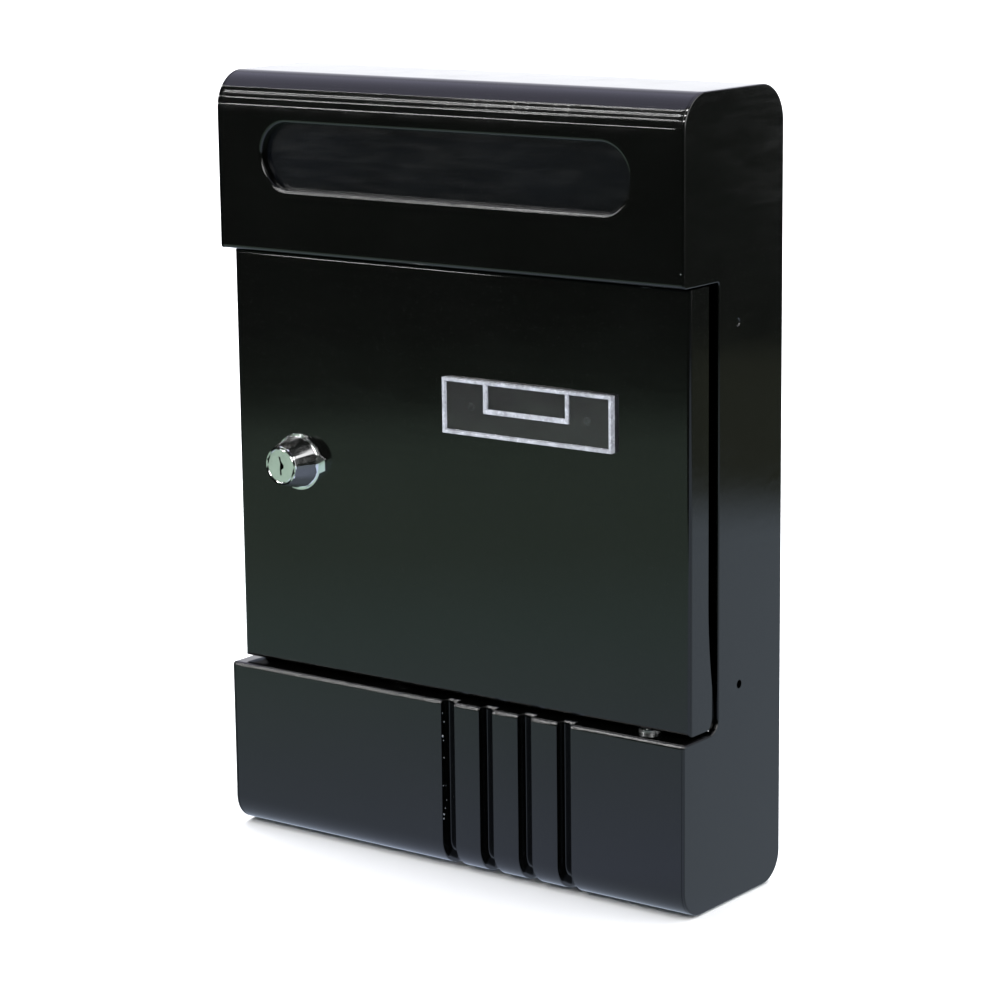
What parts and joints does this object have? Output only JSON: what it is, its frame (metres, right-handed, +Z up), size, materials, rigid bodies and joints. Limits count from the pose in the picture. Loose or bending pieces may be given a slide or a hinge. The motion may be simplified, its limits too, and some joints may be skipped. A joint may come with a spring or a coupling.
{
  "type": "wall mounted mailbox",
  "caption": "Wall mounted steel mailbox with a wide letter slot, a side-hinged door with a cam lock, a clear name holder and a ribbed lower panel.",
  "frame": {"origin": "centre of the four wall screw holes, on the back face", "axes": "+X to the right seen from the front, +Y into the wall, +Z up"},
  "size_m": [0.215, 0.07, 0.3],
  "materials": {
    "black_enamel": "gloss black stoved enamel on steel sheet, slight orange peel",
    "flap_enamel": "satin black paint on steel sheet",
    "chrome": "polished chrome plate on zinc casting",
    "zinc_plate": "bright zinc plate",
    "spring_steel": "bare spring steel",
    "brass": "stamped brass",
    "clear_plastic": "clear moulded polystyrene, polished"
  },
  "bodies": {
    "housing": {"body_wrap": "black_enamel", "left_end_cap": "black_enamel", "right_end_cap": "black_enamel", "door_stop": "black_enamel", "lock_strike": "zinc_plate", "upper_hinge_pin": "zinc_plate", "upper_hinge_washer": "zinc_plate", "lower_hinge_pin": "zinc_plate", "lower_hinge_washer": "zinc_plate", "flap_hinge_rod": "zinc_plate", "rod_clips": "spring_steel", "left_flap_bracket": "zinc_plate", "right_flap_bracket": "zinc_plate"},
    "door": {"door_panel": "black_enamel", "name_holder": "clear_plastic", "name_holder_push_nuts": "spring_steel", "lock_housing": "chrome", "lock_trim_washer": "chrome", "lock_nut": "zinc_plate"},
    "lock_cylinder": {"lock_plug": "chrome", "lock_wafers": "brass", "wafer_springs": "spring_steel", "stop_washer": "zinc_plate", "lock_cam": "zinc_plate", "cam_washer": "spring_steel", "cam_screw": "zinc_plate"},
    "flap": {"letter_flap": "flap_enamel"}
  },
  "joints": [
    {"name": "door_hinge", "type": "hinge", "parent": "housing", "child": "door", "pos_m": [0.086, -0.055, 0], "axis": [0, 0, 1], "range_deg": [0, 120]},
    {"name": "lock_turn", "type": "hinge", "parent": "door", "child": "lock_cylinder", "pos_m": [-0.0755, -0.059, 0], "axis": [0, 1, 0], "range_deg": [0, 90]},
    {"name": "flap_hinge", "type": "hinge", "parent": "housing", "child": "flap", "pos_m": [0, -0.06225, 0.1372], "axis": [1, 0, 0], "range_deg": [0, 70]}
  ]
}
